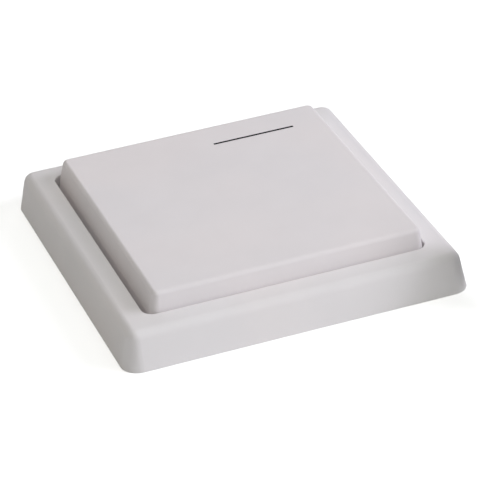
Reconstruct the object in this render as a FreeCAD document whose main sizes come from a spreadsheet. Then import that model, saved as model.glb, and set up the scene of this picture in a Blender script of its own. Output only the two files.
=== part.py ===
import FreeCAD, Part
import Sketcher
import math
import os

# Wireless button remote: a flat square push-plate transmitter.
# Right-handed frame, millimetres: X along the front edge, Y to the rear, +Z up.
# Origin: the middle of the square base, on the surface that it rests on.

V = FreeCAD.Vector
doc = FreeCAD.newDocument("wireless_button_remote")
sheet = doc.addObject("Spreadsheet::Sheet", "Dimensions")


class Dim:
    """A driving dimension: its number, and the expression that binds to its cell."""

    def __init__(self, value, text):
        self.value = float(value)
        self.text = text

    def _join(self, other, sign, left, right):
        a, b = (left, right)
        return Dim(
            {"+": a.value + b.value, "-": a.value - b.value, "*": a.value * b.value}[sign]
            if sign != "/"
            else a.value / b.value,
            "(%s %s %s)" % (a.text, sign, b.text),
        )

    def __add__(self, o):
        return self._join(o, "+", self, dim(o))

    def __radd__(self, o):
        return self._join(o, "+", dim(o), self)

    def __sub__(self, o):
        return self._join(o, "-", self, dim(o))

    def __rsub__(self, o):
        return self._join(o, "-", dim(o), self)

    def __mul__(self, o):
        return self._join(o, "*", self, dim(o))

    def __rmul__(self, o):
        return self._join(o, "*", dim(o), self)

    def __truediv__(self, o):
        return self._join(o, "/", self, dim(o))

    def __neg__(self):
        return Dim(-self.value, "(0 - %s)" % self.text)


def dim(x):
    return x if isinstance(x, Dim) else Dim(x, repr(round(float(x), 6)))


class Cells:
    """The sheet's cells by alias."""

    row = 1


D = Cells()


def cell(alias, value, note):
    r = Cells.row
    sheet.set("A%d" % r, alias.replace("_", " "))
    sheet.set("B%d" % r, repr(float(value)))
    sheet.setAlias("B%d" % r, alias)
    sheet.set("C%d" % r, note)
    Cells.row += 1
    setattr(D, alias, Dim(value, "Dimensions." + alias))


# ---- outside of the cover frame
cell("base_side", 80.0, "outside of the frame at its foot")
cell("base_corner_rad", 4.1, "vertical corner of the frame at its foot")
cell("shoulder_side", 76.4, "outside of the frame where the drafted wall meets the top")
cell("shoulder_corner_rad", 2.3, "vertical corner of the frame at the shoulder")
cell("shoulder_height", 8.76, "height where the drafted wall meets the top")
cell("frame_height", 9.0, "top of the frame at its opening")
cell("frame_edge_rad", 2.2, "rounding of the frame's outer top edge")
cell("frame_wall", 1.6, "thickness of the frame's wall and top")
cell("opening_side", 65.4, "square opening for the push plate")
cell("opening_corner_rad", 2.6, "corner of the opening")
cell("opening_skirt", 1.2, "thickness of the skirt that hangs round the opening")
cell("skirt_foot", 2.6, "height of the skirt's lower edge")
cell("opening_edge_rad", 0.25, "rounding of the opening's upper edge")
# ---- push plate
cell("plate_width", 61.75, "push plate along X at its top")
cell("plate_depth", 63.74, "push plate along Y at its top")
cell("plate_top", 13.46, "height of the push plate's top at rest")
cell("plate_foot", 3.4, "height of the push plate's skirt edge")
cell("plate_break", 8.5, "height where the push plate is widest, its walls lean in above it")
cell("plate_lean", 0.62, "lean of the front, rear and right walls above that height")
cell("plate_tuck", 0.12, "these walls go back in by this much from there to their foot")
cell("left_lean_upper", 1.25, "lean of the left wall above that height")
cell("left_lean", 2.0, "lean of the left wall over its whole height")
cell("plate_corner_rad", 1.4, "vertical corner of the push plate at its top")
cell("plate_low_corner_rad", 2.0, "vertical corner of the push plate from the widest height down")
cell("plate_edge_rad", 1.0, "rounding of the push plate's top edge")
cell("plate_skin", 1.8, "thickness of the push plate's top")
cell("plate_wall", 1.3, "thickness of the push plate's skirt")
cell("plate_shift", 0.63, "middle of the push plate's top from the opening's middle, along X")
cell("line_long", 19.7, "length of the inlaid line")
cell("line_wide", 0.62, "width of the inlaid line")
cell("line_deep", 0.25, "depth of the inlaid line")
cell("line_from", 3.85, "start of the line from the opening's middle, along X")
cell("line_back", 23.2, "line from the plate's middle, along Y")
# ---- hinge
cell("hinge_height", 7.2, "height of the hinge axis")
cell("pin_rad", 1.0, "radius of the hinge pins")
cell("lug_bore_rad", 1.05, "radius of the lugs' bearings, a running fit")
cell("lug_inside", 26.8, "inner face of each lug from the plate's middle")
cell("lug_thick", 1.8, "thickness of each lug")
cell("press_back", 19.0, "distance of the pressers and rubber domes from the hinge")
# ---- base plate and wall screws
cell("plate_base_side", 75.0, "square base plate")
cell("plate_base_thick", 2.0, "thickness of the base plate")
cell("screw_spacing", 60.0, "wall screws, one pair along X and one along Y")
cell("screw_slot_rad", 1.9, "half width of a screw slot")
cell("screw_slot_long", 7.0, "length of a screw slot, end to end")
cell("screw_sink_rad", 3.3, "half width of the sink for a screw head")
# ---- transmitter
cell("box_side", 52.0, "outside of the transmitter's housing")
cell("box_corner_rad", 3.0, "corner of the transmitter's housing")
cell("box_wall", 1.4, "wall of the transmitter's housing")
cell("box_floor", 3.0, "height of the housing's floor, inside")
cell("box_split", 8.8, "height where the housing's cover sits on the tray")
cell("box_top", 10.0, "top of the housing's cover")
cell("post_back", 21.4, "screw posts from the middle, along X and Y")
cell("post_rad", 2.2, "screw post")
cell("board_side", 48.4, "circuit board")
cell("board_under", 3.8, "underside of the circuit board")
cell("board_top", 4.8, "upper side of the circuit board")
cell("cell_rad", 10.0, "coin cell, 20 mm across")
cell("cell_thick", 3.2, "coin cell, 3.2 mm thick")
cell("cell_under", 5.1, "underside of the coin cell")
cell("dome_top", 10.6, "top of the rubber domes")
doc.recompute()

made = {}


def origin_plane(body, role):
    return next(f for f in body.Origin.OriginFeatures if f.Role == role)


def new_body(label):
    body = doc.addObject("PartDesign::Body", label)
    body.Label = label
    made[label] = body
    return body


def bind(obj, path, q):
    if isinstance(q, Dim):
        obj.setExpression(path, q.text)


def sketch(body, name, plane="XY_Plane", offset=0.0):
    sk = body.newObject("Sketcher::SketchObject", body.Label + "_" + name)
    sk.AttachmentSupport = (origin_plane(body, plane), [""])
    sk.MapMode = "FlatFace"
    q = dim(offset)
    sk.AttachmentOffset = FreeCAD.Placement(V(0, 0, q.value), FreeCAD.Rotation())
    bind(sk, "AttachmentOffset.Base.z", offset)
    return sk


def fix_point(sk, geo, pos, x, y):
    """Holds one point of a sketch at (x, y) from the sketch's origin."""
    for q, kind, axis in ((x, "DistanceX", -2), (y, "DistanceY", -1)):
        q = dim(q)
        if abs(q.value) < 1e-9:
            sk.addConstraint(Sketcher.Constraint("PointOnObject", geo, pos, axis))
        else:
            i = sk.addConstraint(Sketcher.Constraint(kind, -1, 1, geo, pos, q.value))
            if "Dimensions" in q.text:
                sk.setExpression("Constraints[%d]" % i, q.text)


def hold(sk, kind, geo, q, *more):
    q = dim(q)
    i = sk.addConstraint(Sketcher.Constraint(kind, geo, *more, q.value))
    if "Dimensions" in q.text:
        sk.setExpression("Constraints[%d]" % i, q.text)


def circle(sk, cx, cy, rad):
    cx, cy, rad = dim(cx), dim(cy), dim(rad)
    g = sk.addGeometry(Part.Circle(V(cx.value, cy.value, 0), V(0, 0, 1), rad.value), False)
    fix_point(sk, g, 3, cx, cy)
    hold(sk, "Radius", g, rad)


def polygon(sk, points):
    pts = [(dim(x), dim(y)) for x, y in points]
    n = len(pts)
    ids = []
    for k in range(n):
        a, b = pts[k], pts[(k + 1) % n]
        ids.append(
            sk.addGeometry(
                Part.LineSegment(V(a[0].value, a[1].value, 0), V(b[0].value, b[1].value, 0)),
                False,
            )
        )
    for k in range(n):
        sk.addConstraint(Sketcher.Constraint("Coincident", ids[k], 2, ids[(k + 1) % n], 1))
    for k in range(n):
        fix_point(sk, ids[k], 1, *pts[k])


def rectangle(sk, x0, x1, y0, y1):
    polygon(sk, [(x0, y0), (x1, y0), (x1, y1), (x0, y1)])


def rounded(sk, hx, hy, rad):
    """A rounded rectangle round the sketch's origin, with half sides hx and hy."""
    hx, hy, rad = dim(hx), dim(hy), dim(rad)
    X, Y, R = hx.value, hy.value, rad.value
    L = lambda a, b, c, d: sk.addGeometry(Part.LineSegment(V(a, b, 0), V(c, d, 0)), False)
    A = lambda cx, cy, a0: sk.addGeometry(
        Part.ArcOfCircle(
            Part.Circle(V(cx, cy, 0), V(0, 0, 1), R),
            math.radians(a0),
            math.radians(a0 + 90),
        ),
        False,
    )
    b = L(-X + R, -Y, X - R, -Y)
    br = A(X - R, -Y + R, 270)
    r = L(X, -Y + R, X, Y - R)
    tr = A(X - R, Y - R, 0)
    t = L(X - R, Y, -X + R, Y)
    tl = A(-X + R, Y - R, 90)
    l = L(-X, Y - R, -X, -Y + R)
    bl = A(-X + R, -Y + R, 180)
    ring = [b, br, r, tr, t, tl, l, bl]
    for k in range(8):
        sk.addConstraint(Sketcher.Constraint("Tangent", ring[k], 2, ring[(k + 1) % 8], 1))
    for g in (b, t):
        sk.addConstraint(Sketcher.Constraint("Horizontal", g))
    for g in (r, l):
        sk.addConstraint(Sketcher.Constraint("Vertical", g))
    for g in (tr, tl, bl):
        sk.addConstraint(Sketcher.Constraint("Equal", br, g))
    hold(sk, "Radius", br, rad)
    for g, pos, kind, q in (
        (r, 1, "DistanceX", hx),
        (l, 1, "DistanceX", -hx),
        (t, 1, "DistanceY", hy),
        (b, 1, "DistanceY", -hy),
    ):
        i = sk.addConstraint(Sketcher.Constraint(kind, -1, 1, g, pos, q.value))
        if "Dimensions" in q.text:
            sk.setExpression("Constraints[%d]" % i, q.text)


def oblong(sk, cx, cy, length, rad, along_x=True):
    """A round-ended slot, length end to end."""
    cx, cy, length, rad = dim(cx), dim(cy), dim(length), dim(rad)
    s = length / 2 - rad
    if along_x:
        ends = [(cx - s, cy), (cx + s, cy)]
        a0 = (90, 270)
    else:
        ends = [(cx, cy - s), (cx, cy + s)]
        a0 = (180, 0)
    arcs = []
    for (x, y), a in zip(ends, a0):
        arcs.append(
            sk.addGeometry(
                Part.ArcOfCircle(
                    Part.Circle(V(x.value, y.value, 0), V(0, 0, 1), rad.value),
                    math.radians(a),
                    math.radians(a + 180),
                ),
                False,
            )
        )
    p = [sk.getPoint(arcs[0], 2), sk.getPoint(arcs[1], 1), sk.getPoint(arcs[1], 2), sk.getPoint(arcs[0], 1)]
    l1 = sk.addGeometry(Part.LineSegment(p[0], p[1]), False)
    l2 = sk.addGeometry(Part.LineSegment(p[2], p[3]), False)
    for a, pa, b, pb in ((arcs[0], 2, l1, 1), (l1, 2, arcs[1], 1), (arcs[1], 2, l2, 1), (l2, 2, arcs[0], 1)):
        sk.addConstraint(Sketcher.Constraint("Tangent", a, pa, b, pb))
    for g, (x, y) in zip(arcs, ends):
        fix_point(sk, g, 3, x, y)
    hold(sk, "Radius", arcs[0], rad)


def pad(body, sk, length, name="Pad", reverse=False):
    f = body.newObject("PartDesign::Pad", body.Label + "_" + name)
    f.Profile = sk
    f.Length = dim(length).value
    bind(f, "Length", length)
    f.Reversed = reverse
    doc.recompute()
    if "Invalid" in f.State or not f.Shape.isValid():
        raise RuntimeError("%s: %s failed" % (body.Label, name))
    return f


def pocket(body, sk, length, name="Pocket", reverse=False, least=1e-3):
    """Cuts a sketch into the body, and checks that it really removed material."""
    doc.recompute()
    before = body.Shape.Volume
    f = body.newObject("PartDesign::Pocket", body.Label + "_" + name)
    f.Profile = sk
    f.Length = dim(length).value
    bind(f, "Length", length)
    f.Reversed = reverse
    doc.recompute()
    if not body.Shape.Volume < before - least:
        raise RuntimeError("%s: %s cut nothing" % (body.Label, name))
    return f


def loft(body, first, others, name="Loft", ruled=True):
    f = body.newObject("PartDesign::AdditiveLoft", body.Label + "_" + name)
    f.Profile = first
    f.Sections = others
    f.Ruled = ruled
    return f


def revolution(body, sk, name="Revolution"):
    f = body.newObject("PartDesign::Revolution", body.Label + "_" + name)
    f.Profile = sk
    f.ReferenceAxis = (sk, ["V_Axis"])
    f.Angle = 360.0
    return f


def round_edges(body, feature, rad, test, name="Fillet", kind="PartDesign::Fillet"):
    """Rounds or chamfers the edges of a feature that pass the test."""
    doc.recompute()
    names = [
        "Edge%d" % (k + 1) for k, e in enumerate(feature.Shape.Edges) if test(e)
    ]
    if not names:
        raise RuntimeError("%s: no edge for %s" % (body.Label, name))
    f = body.newObject(kind, body.Label + "_" + name)
    f.Base = (feature, names)
    if kind.endswith("Fillet"):
        f.Radius = dim(rad).value
        bind(f, "Radius", rad)
    else:
        f.Size = dim(rad).value
        bind(f, "Size", rad)
    doc.recompute()
    return f


def at_height(z, tol=1e-3):
    return lambda e: e.BoundBox.ZLength < tol and abs(e.BoundBox.ZMin - z) < tol


def box(label, x0, x1, y0, y1, z0, z1):
    b = doc.addObject("Part::Box", label)
    b.Label = label
    for side, a, c in (("Length", x0, x1), ("Width", y0, y1), ("Height", z0, z1)):
        q = dim(c) - dim(a)
        setattr(b, side, q.value)
        if "Dimensions" in q.text:
            b.setExpression(side, q.text)
    b.Placement = FreeCAD.Placement(V(dim(x0).value, dim(y0).value, dim(z0).value), FreeCAD.Rotation())
    for axis, q in (("x", x0), ("y", y0), ("z", z0)):
        if isinstance(q, Dim):
            b.setExpression("Placement.Base." + axis, q.text)
    return b


def group(label, parts):
    c = doc.addObject("Part::Compound", label)
    c.Label = label
    c.Links = parts
    made[label] = c
    return c


def fused(label, parts):
    c = doc.addObject("Part::MultiFuse", label)
    c.Label = label
    c.Shapes = parts
    made[label] = c
    return c


# =====================================================================  cover frame
# The outer shell: a drafted wall with rounded corners, a broad rounded shoulder, and
# a top that falls slightly outwards from the square opening. It is hollow underneath.
b = new_body("cover_frame")
s0 = sketch(b, "foot")
rounded(s0, D.base_side / 2, D.base_side / 2, D.base_corner_rad)
s1 = sketch(b, "shoulder", offset=D.shoulder_height)
rounded(s1, D.shoulder_side / 2, D.shoulder_side / 2, D.shoulder_corner_rad)
wall = loft(b, s0, [s1], "wall")
doc.recompute()
s2 = sketch(b, "shoulder_again", offset=D.shoulder_height)
rounded(s2, D.shoulder_side / 2, D.shoulder_side / 2, D.shoulder_corner_rad)
s3 = sketch(b, "crown", offset=D.frame_height)
rounded(s3, D.opening_side / 2, D.opening_side / 2, D.opening_corner_rad)
top = loft(b, s2, [s3], "top")
doc.recompute()
shoulder = round_edges(
    b, top, D.frame_edge_rad, at_height(D.shoulder_height.value, 1e-2), "shoulder_rounding"
)
s4 = sketch(b, "cavity_foot")
rounded(s4, D.base_side / 2 - D.frame_wall, D.base_side / 2 - D.frame_wall, D.base_corner_rad - D.frame_wall)
s5 = sketch(b, "cavity_roof", offset=D.frame_height - D.frame_wall)
rounded(s5, D.shoulder_side / 2 - D.frame_wall - 0.1, D.shoulder_side / 2 - D.frame_wall - 0.1, D.shoulder_corner_rad - 0.8)
hollow = b.newObject("PartDesign::SubtractiveLoft", "cover_frame_cavity")
hollow.Profile = s4
hollow.Sections = [s5]
hollow.Ruled = True
doc.recompute()
s6 = sketch(b, "skirt", offset=D.skirt_foot)
half = D.opening_side / 2 + D.opening_skirt
rounded(s6, half, half, D.opening_corner_rad + D.opening_skirt)
pad(b, s6, D.frame_height - D.skirt_foot - 0.9, "skirt_block")
s7 = sketch(b, "opening")
rounded(s7, D.opening_side / 2, D.opening_side / 2, D.opening_corner_rad)
cut = pocket(b, s7, D.frame_height + 1, "opening_cut", reverse=True)
round_edges(
    b,
    cut,
    D.opening_edge_rad,
    lambda e: at_height(D.frame_height.value, 2e-2)(e)
    and max(abs(e.BoundBox.XMax), abs(e.BoundBox.XMin), abs(e.BoundBox.YMax), abs(e.BoundBox.YMin))
    < D.opening_side.value / 2 + 0.01,
    "opening_rounding",
)
# eight catches on the inside of the wall, which the base plate's tongues hold
s8 = sketch(b, "catches", offset=2.6)
for sx, sy in ((1, 1), (1, -1), (-1, 1), (-1, -1)):
    rectangle(s8, sx * 36.6, sx * 38.4, sy * 15, sy * 25)
    rectangle(s8, sx * 15, sx * 25, sy * 36.6, sy * 38.4)
pad(b, s8, 1.2, "catch_ribs")

# =====================================================================  push plate
# A square key cap, open underneath. It rocks on two pins, on lugs near its left and
# right sides, and presses one of two rubber domes. Its walls lean in towards the top,
# the left one more than the others, so that the top lies a little to the right.
b = new_body("rocker_plate")
hx, hy = D.plate_width / 2, D.plate_depth / 2


def plate_section(name, height, left, other, corner):
    """The plate's outline where its walls have come out by left and by other."""
    sk = sketch(b, name, offset=height)
    middle = D.plate_shift + (dim(other) - dim(left)) / 2
    sk.AttachmentOffset = FreeCAD.Placement(V(middle.value, 0, height.value), FreeCAD.Rotation())
    bind(sk, "AttachmentOffset.Base.x", middle)
    rounded(sk, hx + (dim(other) + dim(left)) / 2, hy + other, corner)
    return sk


s0 = plate_section("foot", D.plate_foot, D.left_lean, D.plate_lean - D.plate_tuck, D.plate_low_corner_rad)
s1 = plate_section("break", D.plate_break, D.left_lean_upper, D.plate_lean, D.plate_low_corner_rad)
cap = loft(b, s0, [s1], "lower_walls")
doc.recompute()
s2 = plate_section("break_again", D.plate_break, D.left_lean_upper, D.plate_lean, D.plate_low_corner_rad)
s3 = plate_section("top", D.plate_top, 0.0, 0.0, D.plate_corner_rad)
cap = loft(b, s2, [s3], "upper_walls")
cap = round_edges(b, cap, D.plate_edge_rad, at_height(D.plate_top.value, 1e-3), "top_rounding")
s4 = sketch(b, "hollow", offset=D.plate_foot)
s4.AttachmentOffset = FreeCAD.Placement(V(D.plate_shift.value - 0.25, 0, D.plate_foot.value), FreeCAD.Rotation())
bind(s4, "AttachmentOffset.Base.x", D.plate_shift - 0.25)
rounded(s4, hx - D.plate_wall + 0.25, hy - D.plate_wall, 1.0)
pocket(b, s4, D.plate_top - D.plate_skin - D.plate_foot, "hollow_cut", reverse=True)
# the hollow follows the lean of the left wall
s5 = sketch(b, "left_wall_inside", "XZ_Plane", offset=hy - D.plate_wall - 1.0)
inner = D.plate_shift - hx
polygon(
    s5,
    [
        (inner + 0.8, D.plate_top - D.plate_skin),
        (inner - D.left_lean + D.plate_wall, D.plate_foot - 0.01),
        (inner + 2.0, D.plate_foot - 0.01),
        (inner + 2.0, D.plate_top - D.plate_skin),
    ],
)
pocket(b, s5, (hy - D.plate_wall - 1.0) * 2, "left_wall_cut", least=200)
# lugs with snap-in bearings
s3 = sketch(b, "lug_right", "YZ_Plane", offset=D.lug_inside)
polygon(s3, [(-3.4, 12.2), (-2.6, 5.6), (-1.9, 4.9), (1.9, 4.9), (2.6, 5.6), (3.4, 12.2)])
pad(b, s3, D.lug_thick, "lug_right_pad")
s3 = sketch(b, "lug_left", "YZ_Plane", offset=-D.lug_inside)
polygon(s3, [(-3.4, 12.2), (-2.6, 5.6), (-1.9, 4.9), (1.9, 4.9), (2.6, 5.6), (3.4, 12.2)])
pad(b, s3, D.lug_thick, "lug_left_pad", reverse=True)
s4 = sketch(b, "bearings", "YZ_Plane", offset=-29.0)
circle(s4, 0, D.hinge_height, D.lug_bore_rad)
pocket(b, s4, 58.0, "bearing_bores", reverse=True, least=5)
s5 = sketch(b, "bearing_mouths", "YZ_Plane", offset=-29.0)
polygon(s5, [(-0.8, 6.6), (-1.2, 4.5), (1.2, 4.5), (0.8, 6.6)])
pocket(b, s5, 58.0, "mouth_cut", reverse=True, least=1)
# pressers over the domes, and stiffening ribs under the top
s6 = sketch(b, "pressers", offset=12.2)
for s in (1, -1):
    circle(s6, 0, s * D.press_back, 2.3)
pad(b, s6, 12.2 - D.dome_top - 0.05, "presser_pads", reverse=True)
s7 = sketch(b, "ribs", offset=12.2)
for s in (1, -1):
    rectangle(s7, s * 15.0, s * 16.0, -20, 20)
pad(b, s7, 12.2 - 10.9, "rib_pads", reverse=True)
s8 = sketch(b, "cross_ribs", offset=12.2)
for s in (1, -1):
    rectangle(s8, -15.5, 15.5, s * 11.5, s * 12.5)
pad(b, s8, 12.2 - 10.9, "cross_rib_pads", reverse=True)
# the groove for the inlaid line
s8 = sketch(b, "line_groove", offset=D.plate_top)
rectangle(s8, D.line_from, D.line_from + D.line_long, D.line_back - D.line_wide / 2, D.line_back + D.line_wide / 2)
pocket(b, s8, D.line_deep, "groove_cut")

# =====================================================================  inlaid line
b = new_body("marker_line")
s0 = sketch(b, "outline", offset=D.plate_top - D.line_deep)
rectangle(s0, D.line_from, D.line_from + D.line_long, D.line_back - D.line_wide / 2, D.line_back + D.line_wide / 2)
pad(b, s0, D.line_deep, "strip")

# =====================================================================  hinge pins
def pin(label, side):
    b = new_body(label)
    s = sketch(b, "round", "YZ_Plane", offset=20.6 * side)
    circle(s, 0, D.hinge_height, D.pin_rad)
    p = pad(b, s, 8.0, "shank", reverse=side < 0)
    round_edges(
        b, p, 0.25, lambda e: e.BoundBox.XLength < 1e-3, "ends", "PartDesign::Chamfer"
    )


pin("hinge_pin_left", -1)
pin("hinge_pin_right", 1)

# =====================================================================  base plate
# Screwed or stuck to a wall or a counter. The frame and the transmitter snap on to it.
b = new_body("base_plate")
s0 = sketch(b, "outline")
rounded(s0, D.plate_base_side / 2, D.plate_base_side / 2, 2.6)
pad(b, s0, D.plate_base_thick, "plate")
# screw slots at the usual spacing, sunk for the heads
s1 = sketch(b, "slots")
s2 = sketch(b, "sinks", offset=D.plate_base_thick)
for k in (1, -1):
    for s, rad, more in ((s1, D.screw_slot_rad, 0), (s2, D.screw_sink_rad, 2.8)):
        oblong(s, k * D.screw_spacing / 2, 0, D.screw_slot_long + more, rad, True)
        oblong(s, 0, k * D.screw_spacing / 2, D.screw_slot_long + more, rad, False)
pocket(b, s1, D.plate_base_thick, "slot_cut", reverse=True, least=20)
pocket(b, s2, 0.9, "sink_cut", least=20)
# shallow places for adhesive pads in the back, and a round relief in the middle
s3 = sketch(b, "pad_places")
for k in (1, -1):
    rectangle(s3, k * 9.0, k * 24.0, -26, -7)
    rectangle(s3, k * 9.0, k * 24.0, 7, 26)
pocket(b, s3, 0.5, "pad_recess", reverse=True, least=20)
# openings in the plate under the tongues, as the mould needs
s4 = sketch(b, "core_holes")
for sx, sy in ((1, 1), (1, -1), (-1, 1), (-1, -1)):
    rectangle(s4, sx * 36.45, sx * 37.1, sy * 16.5, sy * 23.5)
    rectangle(s4, sx * 16.5, sx * 23.5, sy * 36.45, sy * 37.1)
    rectangle(s4, sx * 9.0, sx * 15.0, sy * 25.3, sy * 26.2)
pocket(b, s4, D.plate_base_thick, "core_cut", reverse=True, least=20)
# tongues for the frame, each with a barb over the frame's catch
s5 = sketch(b, "tongues", offset=D.plate_base_thick - 0.2)
s6 = sketch(b, "barbs", offset=3.9)
for sx, sy in ((1, 1), (1, -1), (-1, 1), (-1, -1)):
    rectangle(s5, sx * 35.2, sx * 36.4, sy * 17.0, sy * 23.0)
    rectangle(s5, sx * 17.0, sx * 23.0, sy * 35.2, sy * 36.4)
    rectangle(s6, sx * 35.8, sx * 36.95, sy * 17.0, sy * 23.0)
    rectangle(s6, sx * 17.0, sx * 23.0, sy * 35.8, sy * 36.95)
pad(b, s5, 3.1, "tongue_pads")
pad(b, s6, 0.95, "barb_pads")
# hooks for the transmitter, barbed inwards, and low ribs beside it
s7 = sketch(b, "hooks", offset=D.plate_base_thick - 0.2)
s8 = sketch(b, "hook_barbs", offset=5.55)
s9 = sketch(b, "guide_ribs", offset=D.plate_base_thick - 0.2)
for sx, sy in ((1, 1), (1, -1), (-1, 1), (-1, -1)):
    rectangle(s7, sx * 9.2, sx * 14.8, sy * 26.15, sy * 27.35)
    rectangle(s8, sx * 9.2, sx * 14.8, sy * 25.5, sy * 26.9)
    rectangle(s9, sx * 26.15, sx * 27.35, sy * 9.0, sy * 16.0)
pad(b, s7, 4.7, "hook_pads")
pad(b, s8, 0.9, "hook_barb_pads")
pad(b, s9, 1.8, "rib_pads")

# =====================================================================  transmitter tray
b = new_body("transmitter_tray")
s0 = sketch(b, "outline", offset=D.plate_base_thick)
rounded(s0, D.box_side / 2, D.box_side / 2, D.box_corner_rad)
pad(b, s0, D.box_split - D.plate_base_thick, "block")
s1 = sketch(b, "inside", offset=D.box_split)
rounded(s1, D.box_side / 2 - D.box_wall, D.box_side / 2 - D.box_wall, D.box_corner_rad - D.box_wall)
pocket(b, s1, D.box_split - D.box_floor, "inside_cut", least=1000)
s2 = sketch(b, "ledges", offset=D.box_floor - 0.2)
s3 = sketch(b, "posts", offset=D.box_floor - 0.2)
for sx, sy in ((1, 1), (1, -1), (-1, 1), (-1, -1)):
    circle(s2, sx * D.post_back, sy * D.post_back, D.post_rad + 1.1)
    circle(s3, sx * D.post_back, sy * D.post_back, D.post_rad)
pad(b, s2, D.board_under - D.box_floor + 0.2, "ledge_pads")
pad(b, s3, D.box_split - D.box_floor + 0.2, "post_pads")
s4 = sketch(b, "pin_blocks", offset=D.box_floor - 0.2)
for k in (1, -1):
    rectangle(s4, k * 19.8, k * 25.4, -2.6, 2.6)
pad(b, s4, D.box_split - D.box_floor + 0.2, "pin_block_pads")
for side, name in ((1, "right"), (-1, "left")):
    s5 = sketch(b, "pin_seat_" + name, "YZ_Plane", offset=20.6 * side)
    circle(s5, 0, D.hinge_height, D.pin_rad)
    pocket(b, s5, 6.0, "pin_seat_cut_" + name, reverse=side > 0, least=5)
s6 = sketch(b, "screw_holes", offset=D.box_split)
for sx, sy in ((1, 1), (1, -1), (-1, 1), (-1, -1)):
    circle(s6, sx * D.post_back, sy * D.post_back, 0.95)
pocket(b, s6, 4.6, "screw_hole_cut", least=30)
# notches that the base plate's hooks snap into
for sy, name in ((1, "rear"), (-1, "front")):
    s7 = sketch(b, "notches_" + name, "XZ_Plane", offset=-sy * 26.5)
    for k in (1, -1):
        rectangle(s7, k * 8.6, k * 15.4, 5.4, 6.65)
    pocket(b, s7, 1.25, "notch_cut_" + name, reverse=sy > 0, least=5)

# =====================================================================  transmitter cover
b = new_body("transmitter_cover")
s0 = sketch(b, "outline", offset=D.box_split)
rounded(s0, D.box_side / 2, D.box_side / 2, D.box_corner_rad)
c = pad(b, s0, D.box_top - D.box_split, "lid")
round_edges(b, c, 0.4, at_height(D.box_top.value), "lid_rounding")
s1 = sketch(b, "lip", offset=D.box_split)
for k in (1, -1):
    rectangle(s1, k * 23.3, k * 24.4, 4.2, 16.5)
    rectangle(s1, k * 23.3, k * 24.4, -16.5, -4.2)
    rectangle(s1, -16.5, 16.5, k * 23.3, k * 24.4)
pad(b, s1, 0.8, "lip_pads", reverse=True)
s2 = sketch(b, "board_stops", offset=D.box_split)
for sx, sy in ((1, 1), (1, -1), (-1, 1), (-1, -1)):
    circle(s2, sx * 22.6, sy * 14.5, 1.0)
pad(b, s2, D.box_split - D.board_top, "stop_pads", reverse=True)
s3 = sketch(b, "openings", offset=D.box_top)
circle(s3, 0, D.press_back, 3.0)
circle(s3, 0, -D.press_back, 3.0)
circle(s3, 14.0, -D.press_back, 2.1)
circle(s3, 0, 0, D.cell_rad + 0.6)
pocket(b, s3, 1.2, "opening_cut", least=400)
s4 = sketch(b, "finger_notch", offset=D.box_top)
oblong(s4, -10.0, 0, 8.0, 3.6, True)
pocket(b, s4, 1.2, "notch_cut", least=5)
s5 = sketch(b, "screw_holes", offset=D.box_top)
s6 = sketch(b, "screw_sinks", offset=D.box_top)
for sx, sy in ((1, 1), (1, -1), (-1, 1), (-1, -1)):
    circle(s5, sx * D.post_back, sy * D.post_back, 1.15)
    circle(s6, sx * D.post_back, sy * D.post_back, 2.0)
pocket(b, s5, 1.2, "screw_hole_cut", least=10)
pocket(b, s6, 0.6, "screw_sink_cut", least=10)
s7 = sketch(b, "light_hole", offset=D.box_top)
circle(s7, 14.0, D.press_back, 0.9)
pocket(b, s7, 1.2, "light_cut", least=1)

# =====================================================================  circuit board
b = new_body("circuit_board")
s0 = sketch(b, "outline", offset=D.board_under)
rounded(s0, D.board_side / 2, D.board_side / 2, 1.4)
pad(b, s0, D.board_top - D.board_under, "laminate")
s1 = sketch(b, "holes", offset=D.board_top)
for sx, sy in ((1, 1), (1, -1), (-1, 1), (-1, -1)):
    circle(s1, sx * D.post_back, sy * D.post_back, D.post_rad + 0.15)
pocket(b, s1, D.board_top - D.board_under, "hole_cut", least=30)
s2 = sketch(b, "side_notches", offset=D.board_top)
for k in (1, -1):
    rectangle(s2, k * 19.5, k * 25.0, -2.9, 2.9)
pocket(b, s2, D.board_top - D.board_under, "notch_cut", least=30)


def disc(label, x, y, z, rad, high):
    c = doc.addObject("Part::Cylinder", label)
    c.Label = label
    c.Radius, c.Height = dim(rad).value, dim(high).value
    bind(c, "Radius", rad)
    bind(c, "Height", high)
    c.Placement = FreeCAD.Placement(V(dim(x).value, dim(y).value, dim(z).value), FreeCAD.Rotation())
    for axis, q in (("x", x), ("y", y), ("z", z)):
        if isinstance(q, Dim):
            c.setExpression("Placement.Base." + axis, q.text)
    return c


# contact pads on the board, one under each dome
group(
    "dome_contacts",
    [
        disc("contact_rear", 0, D.press_back, D.board_top, 2.4, 0.05),
        disc("contact_front", 0, -D.press_back, D.board_top, 2.4, 0.05),
    ],
)


# =====================================================================  rubber domes
def dome(label, side):
    """A silicone dome: a foot on the board, a thin web that buckles, and a post with
    a conductive pill under it, 0.6 mm above the board's contacts."""
    b = new_body(label)
    s = sketch(b, "section", "XZ_Plane")
    z0 = D.board_top
    polygon(
        s,
        [
            (0, z0 + 0.65),
            (1.5, z0 + 0.65),
            (1.5, z0 + 2.3),
            (1.95, z0 + 2.3),
            (3.5, z0 + 0.7),
            (3.5, z0),
            (5.0, z0),
            (5.0, z0 + 0.9),
            (4.1, z0 + 0.9),
            (2.4, z0 + 2.9),
            (2.4, D.dome_top - 0.3),
            (2.1, D.dome_top),
            (0, D.dome_top),
        ],
    )
    revolution(b, s, "dome")
    b.Placement = FreeCAD.Placement(V(0, side * D.press_back.value, 0), FreeCAD.Rotation())
    b.setExpression("Placement.Base.y", (D.press_back * side).text)


dome("rubber_dome_rear", 1)
dome("rubber_dome_front", -1)

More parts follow.
